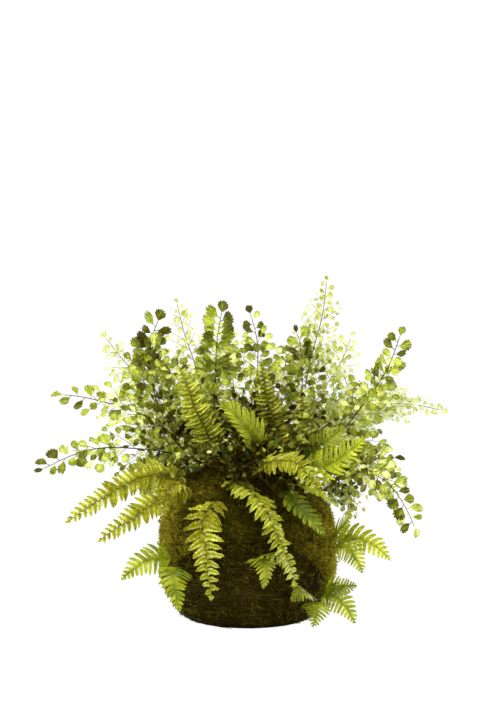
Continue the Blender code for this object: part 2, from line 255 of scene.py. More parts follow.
class Out:
    """One output of a node. Arithmetic on it adds Math nodes to its tree."""

    def __init__(self, socket):
        self.socket, self.tree = socket, socket.id_data

    def other(self, key):
        return Out(self.socket.node.outputs[key])

    def __add__(self, term):
        return calc("ADD", self, term)

    def __sub__(self, term):
        return calc("SUBTRACT", self, term)

    def __rsub__(self, term):
        return calc("SUBTRACT", term, self)

    def __mul__(self, term):
        return calc("MULTIPLY", self, term)

    def __pow__(self, term):
        return calc("POWER", self, term)


def feed(tree, node, inputs):
    """Gives each named or numbered socket of a node a value or a link."""
    for key, value in inputs.items():
        if isinstance(value, Out):
            tree.links.new(value.socket, node.inputs[key])
        else:
            node.inputs[key].default_value = value


def add(tree, kind, inputs=None, output=0, **settings):
    """Adds a node, with settings as its own properties, and returns one of its outputs."""
    node = tree.nodes.new(kind)
    for key, value in settings.items():
        setattr(node, key, value)
    feed(tree, node, inputs or {})
    return Out(node.outputs[output]) if node.outputs else None


def calc(operation, *terms):
    tree = next(term.tree for term in terms if isinstance(term, Out))
    return add(tree, "ShaderNodeMath", dict(enumerate(terms)), operation=operation)


def new_tree(name, sizes):
    """An empty Geometry Nodes tree with a geometry in and out, and named inputs with their defaults."""
    tree = bpy.data.node_groups.new(name, "GeometryNodeTree")
    tree.interface.new_socket("Geometry", in_out="INPUT", socket_type="NodeSocketGeometry")
    tree.interface.new_socket("Geometry", in_out="OUTPUT", socket_type="NodeSocketGeometry")
    kinds = {int: "NodeSocketInt", float: "NodeSocketFloat"}
    for key, value in sizes.items():
        socket = tree.interface.new_socket(key, in_out="INPUT", socket_type=kinds.get(type(value), value))
        if type(value) in kinds:
            socket.default_value = value
    return tree, {socket.name: Out(socket) for socket in tree.nodes.new("NodeGroupInput").outputs}


def shape_by(obj, tree, sizes):
    """Runs a Geometry Nodes tree on an object and leaves the result in it as a plain mesh."""
    modifier = obj.modifiers.new(tree.name, "NODES")
    modifier.node_group = tree
    for item in tree.interface.items_tree:
        if item.name in sizes:
            modifier[item.identifier] = sizes[item.name]
    graph = bpy.context.evaluated_depsgraph_get()
    result = bpy.data.meshes.new_from_object(
        obj.evaluated_get(graph), preserve_all_data_layers=True, depsgraph=graph
    )
    obj.modifiers.remove(modifier)
    before, obj.data = obj.data, result
    bpy.data.meshes.remove(before)
    result.name = obj.name
    return obj


def named(tree, name, kind="FLOAT"):
    return add(tree, "GeometryNodeInputNamedAttribute", {"Name": name}, data_type=kind)


def chance(given, low, high, salt):
    """A random number for each point or shape, from the tree's Seed. salt keeps the draws apart."""
    dice = {2: low, 3: high, "Seed": given["Seed"] + salt}
    return add(given["Seed"].tree, "FunctionNodeRandomValue", dice, 1, data_type="FLOAT")


def spread(given, most, salt):
    """A random number for each point or shape, up to one of the tree's inputs either way."""
    return given[most] * chance(given, -1.0, 1.0, salt)


def any_shape(given, salt):
    return calc("FLOOR", chance(given, 0.0, 0.999, salt) * given["Shapes"])


def turned(rotation, turns):
    """A rotation turned further, about each of some axes of its own by an amount."""
    for axis, amount in turns:
        spin = add(rotation.tree, "FunctionNodeAxisAngleToRotation", {"Axis": axis, "Angle": amount})
        both = {"Rotation": rotation, "Rotate By": spin}
        rotation = add(rotation.tree, "FunctionNodeRotateRotation", both, rotation_space="LOCAL")
    return rotation


def strewn(given, spots, pick, rotation, scale, attributes, selection=True):
    """One shape of the tree's collection at each spot, with attributes of its own, as a painted mesh."""
    tree = spots.tree
    shapes = {"Collection": given["Collection"], "Separate Children": True, "Reset Children": True}
    made = add(tree, "GeometryNodeInstanceOnPoints", {
        "Points": spots, "Selection": selection, "Pick Instance": True, "Instance Index": pick,
        "Instance": add(tree, "GeometryNodeCollectionInfo", shapes), "Rotation": rotation, "Scale": scale,
    })
    for name, value in attributes.items():
        made = add(tree, "GeometryNodeStoreNamedAttribute", {
            "Geometry": made, "Name": name, "Value": value,
        }, data_type="FLOAT", domain="INSTANCE")
    made = add(tree, "GeometryNodeRealizeInstances", {"Geometry": made})
    return add(tree, "GeometryNodeSetMaterial", {"Geometry": made, "Material": given["Blade"]})


def tubes_tree():
    """Tubes along edges: the edges' points carry thickness, the tube's radius."""
    tree, given = new_tree("stalk_tubes", {"Sides": 5, "Bark": "NodeSocketMaterial"})
    curve = add(tree, "GeometryNodeMeshToCurve", {"Mesh": given["Geometry"]})
    ring = add(tree, "GeometryNodeCurvePrimitiveCircle", {"Resolution": given["Sides"], "Radius": 1.0})
    made = add(tree, "GeometryNodeCurveToMesh", {
        "Curve": curve, "Profile Curve": ring, "Scale": named(tree, "thickness"), "Fill Caps": True,
    })
    made = add(tree, "GeometryNodeSetShadeSmooth", {"Geometry": made})
    made = add(tree, "GeometryNodeSetMaterial", {"Geometry": made, "Material": given["Bark"]})
    add(tree, "NodeGroupOutput", {0: add(tree, "GeometryNodeRealizeInstances", {"Geometry": made})})
    return tree


def frond_tree(tubes):
    """Leaflets in two rows along stalks, and the stalks themselves as tubes.

    The stalks' points carry face_way, where the leaf's upper side looks; size, a leaflet's length and
    breadth there, or nothing where the stalk is bare; and tone. Leaflets go left and right by turns."""
    tree, given = new_tree("frond_leaflets", {
        "Spacing": 0.006, "Angle": 1.0, "Angle Spread": 0.2, "Lift": 0.1, "Tilt": 0.4, "Roll": 0.0,
        "Size Spread": 0.15, "Tone Spread": 0.2, "Shapes": 4, "Seed": 0, "Sides": 5,
        "Collection": "NodeSocketCollection", "Blade": "NodeSocketMaterial", "Bark": "NodeSocketMaterial",
    })
    passed = {key: given[key] for key in ("Geometry", "Sides", "Bark")}
    stalks = add(tree, "GeometryNodeGroup", passed, node_tree=tubes)
    curve = add(tree, "GeometryNodeMeshToCurve", {"Mesh": given["Geometry"]})
    even = {"Curve": curve, "Length": given["Spacing"]}
    spots = add(tree, "GeometryNodeResampleCurve", even, mode="LENGTH")
    size, shortest = named(tree, "size", "FLOAT_VECTOR"), 1.5 * MM
    length = add(tree, "ShaderNodeSeparateXYZ", {0: size})
    leafy = add(tree, "FunctionNodeCompare", {0: length, 1: shortest}, operation="GREATER_THAN")

    turn = calc("MODULO", add(tree, "GeometryNodeInputIndex"), 2.0)
    way = turn * 2.0 - 1.0
    last = add(tree, "GeometryNodeCurveEndpointSelection", {"Start Size": 0, "End Size": 1})
    upright = add(tree, "FunctionNodeAxesToRotation", {
        "Primary Axis": named(tree, "face_way", "FLOAT_VECTOR"),
        "Secondary Axis": add(tree, "GeometryNodeInputTangent"),
    }, primary_axis="Z", secondary_axis="X")
    rotation = turned(upright, (
        ((0, 0, 1), way * (given["Angle"] + spread(given, "Angle Spread", 11)) * (1.0 - last)),
        ((0, 1, 0), 0.0 - (given["Lift"] + spread(given, "Tilt", 12))),
        ((1, 0, 0), way * given["Roll"] + spread(given, "Tilt", 13)),
    ))
    grown = spread(given, "Size Spread", 14) + 1.0
    scale = add(tree, "ShaderNodeVectorMath", {0: size, "Scale": grown}, operation="SCALE")
    pick = any_shape(given, 15) * 2.0 + turn  # of a pair, the left one or the right one
    marks = {"tone": named(tree, "tone") + spread(given, "Tone Spread", 16)}
    marks["odd"] = chance(given, 0.0, 1.0, 17)
    leaflets = strewn(given, spots, pick, rotation, scale, marks, leafy)
    both = add(tree, "GeometryNodeJoinGeometry", {0: leaflets})
    feed(tree, both.socket.node, {0: stalks})
    add(tree, "NodeGroupOutput", {0: both})
    return tree


def scatter_tree():
    """Shapes of one collection spread over a surface: its points carry cover, the share of Density."""
    tree, given = new_tree("scattered_shoots", {
        "Density": 1.0, "Size": 0.004, "Size Spread": 0.3, "Lean": 0.3, "Turn": 0.0,
        "Turn Spread": math.pi, "Shapes": 5, "Seed": 0, "Collection": "NodeSocketCollection",
        "Blade": "NodeSocketMaterial",
    })
    spots = add(tree, "GeometryNodeDistributePointsOnFaces", {
        "Mesh": given["Geometry"], "Density": named(tree, "cover") * given["Density"], "Seed": given["Seed"],
    }, "Points")
    rotation = turned(spots.other("Rotation"), (
        ((0, 0, 1), spread(given, "Turn Spread", 21) + given["Turn"]),
        ((1, 0, 0), spread(given, "Lean", 22)),
        ((0, 1, 0), spread(given, "Lean", 23)),
    ))
    size = (spread(given, "Size Spread", 24) + 1.0) * given["Size"]
    odd = {"odd": chance(given, 0.0, 1.0, 26)}
    made = strewn(given, spots, any_shape(given, 25), rotation, size, odd)
    add(tree, "NodeGroupOutput", {0: made})
    return tree


# ------------ leaflets, the shapes that repeat


def fan_leaflet(name, teeth, broad, skew, notch, stalk, bend, rings, flipped):
    """A maidenhair leaflet, one unit long with its stalk: a wedge that widens to a rounded outer margin
    cut into ragged teeth. broad is half its width, skew bends it towards the frond's tip, and bend is
    how it folds along its middle, droops and twists."""
    fold, droop, twist = bend
    half = (1 - stalk) / 2
    toothed = 70  # degrees to either side of the leaflet's end
    margin = [(-158, 1.0), (-130, 1.0), (-104, 1.0), (-84, 1.02)]
    for tooth in range(teeth):
        low, high = (toothed * (2 * (tooth + end) / teeth - 1) for end in (0, 1))
        deep = notch * (1.3 if tooth % 2 else 0.7)
        margin += [(low, 1 - deep), (0.72 * low + 0.28 * high, 1.0), (0.24 * low + 0.76 * high, 1.04)]
    margin += [(toothed, 1 - notch), (84, 1.02), (104, 1.0), (130, 1.0), (158, 1.0)]
    points, uvs = [(stalk, 0, 0)], [(0, 0.5)]
    for ring in range(1, rings + 1):
        out = (ring / rings) ** 0.8
        for degrees, reach in margin:
            turn = math.radians(degrees)
            far = reach if ring == rings else 1
            x = half * (1 + math.cos(turn) * far) * out
            wedge = min(1, 0.34 + 1.30 * x / (out * 2 * half))
            round_off = abs(math.sin(turn)) ** 0.8 * math.copysign(1, turn)
            y = broad * round_off * far * out * wedge + skew * x * x
            lift = fold * abs(y) - droop * x * x + twist * x * y + 0.018 * math.sin(8 * turn) * out
            points.append((stalk + x, -y if flipped else y, lift))
            uvs.append((out, degrees / 316 + 0.5))
    count = len(margin)
    faces = [(0, 1 + i, 2 + i) for i in range(count - 1)] + patches(1, rings - 1, count)
    faces = mirrored(faces, flipped)
    wide, base, end = 0.024, len(points), stalk + 0.05  # the leaflet's own stalk, a narrow strip
    points += [(0, wide, 0), (0, -wide, 0), (end, -wide, 0.004), (end, wide, 0.004)]
    faces.append((base, base + 1, base + 2, base + 3))
    return mesh_of(name, points, faces, uvs=uvs + [(0, 0.5)] * 4)


def sword_leaflet(name, ruffle, curl, phase, flipped):
    """A sword fern leaflet, one unit long: broad, blunt, bent towards the frond's tip, with an ear at its
    base on that side, scalloped margins and a pleat from each scallop to the middle. phase shifts the
    waves of its margin."""
    rows, half, lanes = 14, 0.170, (-1, -0.5, 0, 0.5, 1)
    points, uvs = [], []
    for row in range(rows + 1):
        x = row / rows
        taper = max(0.0, 1 - x**2.6) ** 0.8 * (1 - 0.8 * math.exp(-x / 0.03))
        pleat = 1 if row % 2 else -1
        ear = 0.12 * math.exp(-(((x - 0.10) / 0.08) ** 2))
        for lane in lanes:
            reach = half * taper * (1 + 0.13 * pleat * abs(lane)) + (ear if lane > 0 else 0)
            y = lane * reach + 0.13 * x * x
            wave = ruffle * (math.sin(13 * x + 2.3 * lane + phase) + 0.6 * pleat) * abs(lane)
            z = wave + 0.30 * abs(lane * reach) - curl * x * x
            points.append((x, -y if flipped else y, z))
            uvs.append((x, lane / 2 + 0.5))
    return mesh_of(name, points, mirrored(patches(0, rows, len(lanes)), flipped), uvs=uvs)


def moss_tuft(name, blades, rng):
    """A tuft of moss one unit tall: kite-shaped shoots that lean out from one point."""
    points, faces = [], []
    for blade in range(blades):
        angle = math.tau * blade / blades + rng.uniform(-0.6, 0.6)
        lean, tall = rng.uniform(0.3, 1.3), rng.uniform(0.5, 1.0)
        out = polar(1, 0, angle)
        wide = Vector((-out.y, out.x, 0)) * rng.uniform(0.08, 0.15)
        base, waist = len(points), out * lean * 0.35 + Vector((0, 0, tall * 0.5))
        points += [(0, 0, -0.1), waist - wide, out * lean + Vector((0, 0, tall)), waist + wide]
        faces.append((base, base + 1, base + 2, base + 3))
    return mesh_of(name, points, faces, smooth=False, height=[0.0, 0.5, 1.0, 0.5] * blades)


def rootlet(name, length, rng):
    """A dry rootlet that lies on the wall, as a narrow ribbon: it wanders in its own plane."""
    steps, wide = 5, 0.011
    place, heading = Vector((-length / 2, 0, 0)), 0.0
    points, heights = [], []
    for step in range(steps + 1):
        heading += rng.uniform(-0.75, 0.75)
        ahead = polar(1, 0, heading) * length / steps
        off = Vector((-ahead.y, ahead.x, 0)).normalized() * wide * (1 - 0.5 * step / steps)
        lift = Vector((0, 0, 0.02 + 0.16 * math.sin(math.pi * step / steps) * rng.uniform(0.2, 1)))
        points += [place + off + lift, place - off + lift]
        heights += [step / steps] * 2
        place = place + ahead
    return mesh_of(name, points, patches(0, steps, 2, back=True), smooth=False, height=heights)


def make_leaflet_sets():
    """A collection of shapes, outside the scene, for each kind of leaflet or shoot. A tree picks from
    them in name order. The leaflets come in pairs, for the left and the right of a stalk."""
    # half width, skew, and how it folds, droops and twists: broad, oblong, cupped, folded, wide, edge-on
    fans = [
        (0.40, 0.12, (0.10, 0.12, 0.10)), (0.28, 0.20, (0.05, 0.20, -0.15)),
        (0.36, 0.08, (0.30, 0.05, 0.20)), (0.27, 0.26, (0.45, 0.25, 0.10)),
        (0.43, 0.05, (0.15, 0.30, -0.10)), (0.25, 0.16, (0.30, 0.35, 0.45)),
    ]
    # the sword leaflets' ruffle, curl and phase
    waves = [
        (0.040, 0.10, 0.0), (0.060, 0.24, 1.9), (0.045, -0.06, 3.4), (0.030, 0.16, 5.0), (0.065, 0.02, 0.9),
    ]
    sets = {key: [] for key in ("maidenhair", "fine_maidenhair", "undergrowth", "sword_fern")}
    for number, (wide, skew, bend) in enumerate(fans):
        for side in (0, 1):
            tag = f"{number}{'ab'[side]}"
            for key, shape, teeth, broad, notch, stalk, rings in (
                ("maidenhair", "fan_", 5 + number % 2, wide, 0.23, 0.23, 2),
                ("fine_maidenhair", "petite_", 3, wide * 1.05, 0.10, 0.26, 1),
                ("undergrowth", "young_", 3, wide * 1.15, 0.17, 0.14, 1),
            ):
                leaflet = fan_leaflet(shape + tag, teeth, broad, skew, notch, stalk, bend, rings, side)
                sets[key].append(leaflet)
    for number, wave in enumerate(waves):
        sets["sword_fern"] += [sword_leaflet(f"sword_{number}{'ab'[side]}", *wave, side) for side in (0, 1)]
    rng = random.Random(SHAPE_SEED)
    sets["tufts"] = [moss_tuft(f"tuft_{i}", 6, rng) for i in range(5)]
    sets["rootlets"] = [rootlet(f"rootlet_{i}", rng.uniform(0.8, 1.3), rng) for i in range(6)]
    for key, meshes in sets.items():
        sets[key] = bpy.data.collections.new(key + "_shapes")
        for mesh in meshes:
            sets[key].objects.link(bpy.data.objects.new(mesh.name, mesh))
    return sets


# ------------ fronds on stalks

# How each kind is built. Lengths are in metres: leaflet is the longest leaflet of a frond 300 mm long,
# branch its longest side branch, spacing the step from one leaflet to the next on the other side. bare is
# the share of the midrib below its first leaflet, reach the share where the last branch leaves, and young
# the size of the lowest branch's leaflets beside the longest. rib and wire are radii.
Habit = namedtuple(
    "Habit", "bare leaflet young spacing branches reach branch rib wire angle lift tilt shapes roll tones")
HABITS = {
    "maidenhair": Habit(
        0.56, 0.0190, 0.56, 0.0066, 19, 0.74, 0.058, 0.00096, 0.00036, 1.15, 0.05, 0.46, 6, 0.0, 0.55),
    "fine_maidenhair": Habit(
        0.50, 0.0106, 0.90, 0.0050, 22, 0.84, 0.060, 0.00086, 0.00034, 1.00, 0.05, 0.36, 6, 0.0, 0.42),
    "undergrowth": Habit(
        0.10, 0.0124, 0.85, 0.0060, 5, 0.80, 0.032, 0.00062, 0.00034, 1.00, 0.05, 0.55, 6, 0.0, 0.70),
    "sword_fern": Habit(
        0.09, 0.0215, 1.00, 0.0034, 0, 0.0, 0.0, 0.00095, 0.0, 1.30, -0.06, 0.16, 5, 0.14, 0.40),
}


class Stalks:
    """Polylines with the attributes that the frond tree reads."""

    def __init__(self):
        self.points, self.edges = [], []
        self.marks = {"face_way": [], "size": [], "tone": [], "thickness": []}

    def run(self, points, *marks):
        first = len(self.points)
        self.points += points
        self.edges += [(first + i, first + i + 1) for i in range(len(points) - 1)]
        for listed, values in zip(self.marks.values(), marks):
            listed += values


def leaflet_size(frond, share, longest):
    """(length, breadth, thickness scale) of a leaflet at a place on the midrib; longest is in metres."""
    bare = HABITS[frond.habit].bare
    if share < bare:
        return (0.0, 0.0, 0.0)
    run = (share - bare) / (1 - bare)
    if frond.habit != "sword_fern":
        return (longest * (1.0 - 0.15 * run),) * 3
    length = min(1, 0.62 + 2.0 * run) * max(0.0, 1 - max(0, (run - 0.35) / 0.65) ** 1.7) ** 0.9
    length = 0.28 + 0.72 * length
    breadth = longest * (0.60 + 0.40 * length)
    return (longest * length, breadth, breadth)


def grow_stalks(stalks, frond, route, rng):
    """Adds the midrib of a frond and its side branches: long ones low down, short ones near the tip."""
    habit = HABITS[frond.habit]
    scale = min(1.15, max(0.62, route.length / 0.28))
    longest = habit.leaflet * frond.size
    phase, steps = rng.uniform(0, 9), 30
    end = 1 - 0.7 * longest / route.length if habit.branches else 1.0  # the last leaflet reaches the tip

    def place_at(share):
        """A point of the midrib, which sways a little about its route."""
        side, face = route.side_and_face(share)
        reach = 0.0022 * math.sin(math.pi * share)
        sway = side * math.sin(9 * share + phase) + face * math.sin(7 * share + 2 * phase)
        return route.point(share) + reach * sway

    def grow(place, ahead, heading, face, length, full, tone, wire):
        """One side branch; a long one branches again."""
        bits, points = 4 + (length > 0.02) * 3, [place]
        for bit in range(bits):
            bow = (heading * 0.25 + Vector((0, 0, -0.30))) * (bit / bits)
            place = place + (ahead + bow).normalized() * length / bits
            points.append(place)
        span = [i / bits for i in range(bits + 1)]
        sizes = [(0.0 if s < 0.1 else full * (1.0 - 0.2 * s),) * 3 for s in span]
        stalks.run(points, [tuple(face)] * (bits + 1), sizes, [tone + 0.15 * s for s in span],
                   [wire * (1.1 - 0.4 * s) for s in span])
        if length < 2.6 * habit.leaflet + 0.008:
            return
        way, fork = rng.choice((-1, 1)), 0.85
        for step in range(1, bits - 2):
            aside = face.cross(ahead).normalized() * way * math.sin(fork) + ahead * math.cos(fork)
            out = (aside + face * rng.uniform(-0.35, 0.35)).normalized()
            grow(points[step], out, ahead, face, length * rng.uniform(0.26, 0.38) * (1.1 - 0.1 * step),
                 full * 0.86, tone + rng.uniform(-0.2, 0.2), wire * 0.8)
            way = -way

    shares = [0.0] + [end * i / steps for i in range(steps + 1)]
    foot = route.root - route.along(0) * 0.010  # it starts below the surface
    low, rise = (0.25, -0.5) if habit.branches else (-0.55, 0.95)
    stalks.run(
        [foot] + [place_at(s) for s in shares[1:]], [tuple(route.side_and_face(s)[1]) for s in shares],
        [leaflet_size(frond, s, longest) for s in shares], [frond.tone + low + rise * s for s in shares],
        [habit.rib * (1.30 - 0.72 * s) * scale for s in shares],
    )
    lowest = 0.08
    for number in range(habit.branches):
        run = number / (habit.branches - 1)
        share = lowest + (habit.reach - lowest) * run + rng.uniform(-0.015, 0.015)
        way = 1 if number % 2 else -1
        side, face = route.side_and_face(share)
        angle = math.radians(54 - 16 * run + rng.uniform(-10, 10))
        ahead = route.along(share) * math.cos(angle) + side * way * math.sin(angle)
        loose = 0.9 - 0.5 * run
        ahead = (ahead + face * rng.uniform(-loose, loose)).normalized()
        length = (0.014 + habit.branch * (1 - run) ** 0.8) * scale * rng.uniform(0.8, 1.15)
        tilt = face + side * rng.uniform(-0.35, 0.35) + route.along(share) * rng.uniform(-0.3, 0.3)
        # painted shade: branches low on the midrib get a darker tone, for the shade deep inside the plant
        full, tone = longest * (habit.young + (0.95 - habit.young) * run), 0.25 - 1.1 * (1 - share) ** 2
        grow(place_at(share), ahead, route.along(share), tilt.normalized(), length, full,
             frond.tone + tone, habit.wire)


def make_stalk_piece(name, kind, fronds, tree, shapes, materials, rng):
    """One piece of a frond or several of one kind. The undergrowth has the maidenhair's leaf and stalk. A
    sword fern that stands up has its leaflets square to the midrib and face up, like slats."""
    stalks, habit, slats = Stalks(), HABITS[kind], 0.0
    for frond in fronds:
        route = Route(frond)
        grow_stalks(stalks, frond, route, rng)
        if kind == "sword_fern":
            slats = max(0.0, route.along(0.6).z)
    finish = "maidenhair" if kind == "undergrowth" else kind
    mesh = mesh_of(name, stalks.points, edges=stalks.edges, **stalks.marks)
    return shape_by(link_object(name, mesh), tree, {
        "Spacing": habit.spacing * frond.close, "Angle": habit.angle + 0.15 * slats,
        "Angle Spread": 0.22 if habit.branches else 0.12,
        "Lift": habit.lift, "Tilt": habit.tilt, "Roll": habit.roll + 0.62 * slats,
        "Size Spread": 0.22 if habit.branches else 0.09, "Tone Spread": habit.tones,
        "Shapes": habit.shapes, "Seed": rng.randrange(9999), "Collection": shapes[kind],
        "Blade": materials[finish], "Bark": materials[finish + "_stalk"],
    })


def undergrowth(rng):
    """Short young maidenhair sprays between the big fronds' stems, all over the mound but for one
    bare mossy shoulder at the front left. They stand thicker in front. In millimetres."""
    sprays, widest = 120, 84
    bare_shoulder, bare_radius, thinned = Vector((-56, -60)), 29, 0.55
    while sprays:
        angle, far = rng.uniform(0, math.tau), widest * rng.random() ** 0.62
        start = Vector((math.cos(angle), math.sin(angle))) * far
        skipped = thinned if start.y > 10 or abs(start.x) > 58 else 0
        if (start - bare_shoulder).length < bare_radius or rng.random() < skipped:
            continue
        edge = far / widest
        tall = rng.uniform(34, 112) * (1 - 0.62 * edge)
        out = start * (tall * (0.12 + 0.75 * edge) / max(far, 1))
        out += Vector((rng.uniform(-14, 14), rng.uniform(-14, 14)))
        foot, aside = mound_height(far * MM) / MM, abs(start.x) / widest
        tip = (*(start + out), foot + tall * (0.95 - 0.85 * edge))
        middle = (*(start + 0.42 * out), foot + tall * 0.58)
        # painted shade and painted light: the sprays get a dark tone, deepest over the middle of the mound
        # under the big fronds, and a lighter one towards the sides
        roll, tone = rng.uniform(-60, 60), rng.uniform(-1.7, -0.7) + 1.3 * aside
        sprays -= 1
        yield Frond("undergrowth", start, middle, tip, roll, tone, rng.uniform(0.7, 1.0))


# ------------ leather fern fronds, lobed sheets

# How far a leather fern's lobes are joined, how many pairs, the blade's half width, how far the lobes lean
# forward, how much of its pitch a free lobe fills, where the blade starts on its stem, how wide its foot
# is, how it narrows (1 evenly, 2 late), and how far it is folded along the midrib.
Cut = namedtuple("Cut", "joined pairs half lean finger bare foot narrows fold")
CUTS = {
    "fused": Cut(0.38, 13, 0.0195, 0.95, 0.92, 0.12, 0.50, 1.5, 0.80),
    "comb": Cut(0.22, 16, 0.0215, 0.70, 0.76, 0.10, 0.50, 1.9, 0.55),
    "broad": Cut(0.28, 11, 0.0180, 0.70, 0.84, 0.06, 0.60, 1.6, 0.35),
    "sprig": Cut(0.20, 11, 0.0214, 0.48, 0.82, 0.10, 0.85, 1.4, 0.15),  # the small fronds in the wall
}


def lobe_breadth(cut, out):
    """Breadth of a lobe, as a share of its pitch, at a place from the midrib (0) to the lobe's tip (1)."""
    if out <= cut.joined:
        return 1.0
    free = (out - cut.joined) / (1 - cut.joined)
    waist = cut.finger + (1 - cut.finger) * max(0.0, 1 - free / 0.15)
    return waist * max(0.0, 1 - free**5.0) ** 0.6 * (1 - 0.12 * free)


def blade_reach(cut, run):
    """Outline of the blade, as a share of its half width, from its foot (0) to its tip (1)."""
    return min(1.0, cut.foot + 2.0 * run) * (1 - run**cut.narrows) ** 0.8 + 0.05


def make_leather_frond(name, frond, material, rng):
    """A blade cut into pointed lobes that lean forward: small wall fronds are cut nearly to the midrib,
    the big ones less. It is worked out flat, along the midrib and across it, then laid on the route."""
    cut, route = CUTS[frond.habit], Route(frond)
    half = cut.half * min(1.0, route.length / (0.062 if frond.habit == "sprig" else 0.10))
    rows, lanes = 9, 4
    points, faces, uvs, tones = [], [], [], []
    wave = rng.uniform(0, 9)

    def lay(x, y, u, v, lift, shade):
        share = min(1.0, x / route.length)
        side, face = route.side_and_face(share)
        spot = route.point(share) + route.along(share) * max(0.0, x - route.length)
        height = cut.fold * abs(y) - 11.0 * y * y + 0.0008 * math.sin(230 * x + wave) * abs(y) / half + lift
        points.append(spot + side * y + face * height)
        uvs.append((u, v))
        # painted shade: each lobe's tone is darker near the midrib and lighter towards its tip
        tones.append(frond.tone + 0.5 * (share - 0.5) + 0.35 * (u - 0.5) + shade)

    closing, end = 1.4, 0.98  # the lobes come closer towards the tip, and the last is just short of it
    for way in (-1, 1):
        for number in range(cut.pairs):
            left = 1 - (number + (0.5 if way > 0 else 0.35)) / cut.pairs
            run = 1 - left**closing
            middle = route.length * (cut.bare + (end - cut.bare) * run)
            pitch = route.length * (end - cut.bare) * closing * left ** (closing - 1) / cut.pairs
            reach = half * blade_reach(cut, run) * rng.uniform(0.90, 1.06)
            lean = cut.lean + rng.uniform(-0.06, 0.06)
            dip, shade, first = rng.uniform(-0.05, 0.20), rng.uniform(-0.30, 0.30), len(points)
            for row in range(rows + 1):
                out = (row / rows) ** 0.85
                y = reach * out
                for lane in range(lanes + 1):
                    v = lane / lanes
                    across = (v - 0.5) * pitch * lobe_breadth(cut, out)
                    bulge = 0.07 * pitch * (1 - (2 * v - 1) ** 2) - dip * y * out
                    x = middle + across + y * math.tan(lean) * (0.8 + 0.2 * out)
                    lay(x, way * y, out, v, bulge, shade)
            faces += mirrored(patches(first, rows, lanes + 1, back=True), way < 0)

    rib_steps, around, first = 26, 6, len(points)
    for step in range(rib_steps + 1):
        share = step / rib_steps
        side, face = route.side_and_face(share)
        thick = (0.00095 - 0.00065 * share) * min(1.1, 0.6 + route.length / 0.25)
        middle = route.point(share) - (route.along(0) * 0.008 if step == 0 else Vector())
        for corner in range(around):
            turn = math.tau * corner / around
            points.append(middle + side * thick * math.cos(turn) + face * thick * 0.8 * math.sin(turn))
            uvs.append((0.0, 0.5))
            tones.append(frond.tone + 0.2)
    faces += patches(first, rib_steps, around, ring=True, back=True)
    faces.append(tuple(range(first + around - 1, first - 1, -1)))
    faces.append(tuple(range(len(points) - around, len(points))))
    return link_object(name, mesh_of(name, points, faces, uvs=uvs, tone=tones), material)


# ------------ basket and moss


def lathe(name, rings, turns, shape):
    """A closed skin of revolution. rings are (radius, height) from one pole to the other, counted so
    that outward is on the left of the path; shape gives a point from (radius, height, angle)."""
    points = [shape(*rings[0], 0.0)]
    for radius, height in rings[1:-1]:
        points += [shape(radius, height, math.tau * i / turns) for i in range(turns)]
    points.append(shape(*rings[-1], 0.0))
    low, last = len(points) - 1 - turns, len(points) - 1
    faces = [(0, 1 + (i + 1) % turns, 1 + i) for i in range(turns)]
    faces += patches(1, len(rings) - 3, turns, ring=True, back=True)
    faces += [(low + i, low + (i + 1) % turns, last) for i in range(turns)]
    return mesh_of(name, points, faces)


def lumps(spot, size, salt=0.0):
    """Smooth noise from -1 to 1 whose lumps are about that many metres apart."""
    return noise.noise(spot / size + Vector((salt, 2.7 * salt, -salt)))


def wall_point(radius, height, angle):
    """A point of the basket's skin: turned, then pushed in and out by uneven winding."""
    spot = polar(radius, height, angle)
    if radius < 1 * MM or height < 0.5 * MM:
        return spot
    push = 1.1 * MM * lumps(spot, 24 * MM) + 0.5 * MM * lumps(spot, 7 * MM, 3.0)
    flat = Vector((spot.x, spot.y, 0)).normalized()
    return spot + flat * push * min(1, height / (6 * MM))


def make_basket_wall(material):
    outside = [(basket_radius(BASKET_HEIGHT * i / 56), BASKET_HEIGHT * i / 56) for i in range(57)]
    floor = 8 * MM
    inside = [(r - BASKET_WALL, z) for r, z in outside[::-4] if z > floor + BASKET_WALL]
    rings = [(0, 0), (0.5 * outside[0][0], 0)] + outside
    rings += inside + [(inside[-1][0] - 4 * MM, floor), (0, floor)]
    return link_object("basket_wall", lathe("basket_wall", rings, 180, wall_point), material)


def make_twigs(material, tubes, rng):
    """Thin twigs wound round the wall: most lie level, some cross the others, and a few ends stand off."""
    points, edges, thickness = [], [], []
    for number in range(420):
        crossing = number % 4 == 0
        height = rng.uniform(2, 138) * MM
        start, span = rng.uniform(0, math.tau), math.radians(rng.uniform(35, 150))
        rise = rng.uniform(-38, 38) * MM if crossing else rng.uniform(-6, 6) * MM
        off = rng.uniform(0.0, 1.8) * MM
        thick = rng.uniform(0.25, 0.70) * MM
        wave, salt = rng.uniform(0.6, 2.6) * MM, rng.uniform(0, 50)
        loose = rng.random() < 0.16
        steps = max(6, int(math.degrees(span) / 6))
        edges += [(len(points) + i, len(points) + i + 1) for i in range(steps)]
        for step in range(steps + 1):
            share = step / steps
            angle = start + span * share
            z = height + rise * (share - 0.5) + wave * math.sin(11 * share + salt)
            z = min(max(z, 1.2 * MM), BASKET_HEIGHT - 0.5 * MM)
            radius = basket_radius(z) + off + 0.6 * MM * lumps(polar(0.1, z, angle), 14 * MM, salt)
            if loose:
                radius += 5 * MM * max(0, share - 0.85) / 0.15
            if not loose or share <= 0.5:
                radius -= 1.6 * MM * max(0, 1 - min(share, 1 - share) / 0.08)
            points.append(polar(radius, z, angle))
            thickness.append(thick * (1 - 0.5 * share))
    mesh = mesh_of("wound_twigs", points, edges=edges, thickness=thickness)
    return shape_by(link_object("wound_twigs", mesh), tubes, {"Sides": 4, "Bark": material})


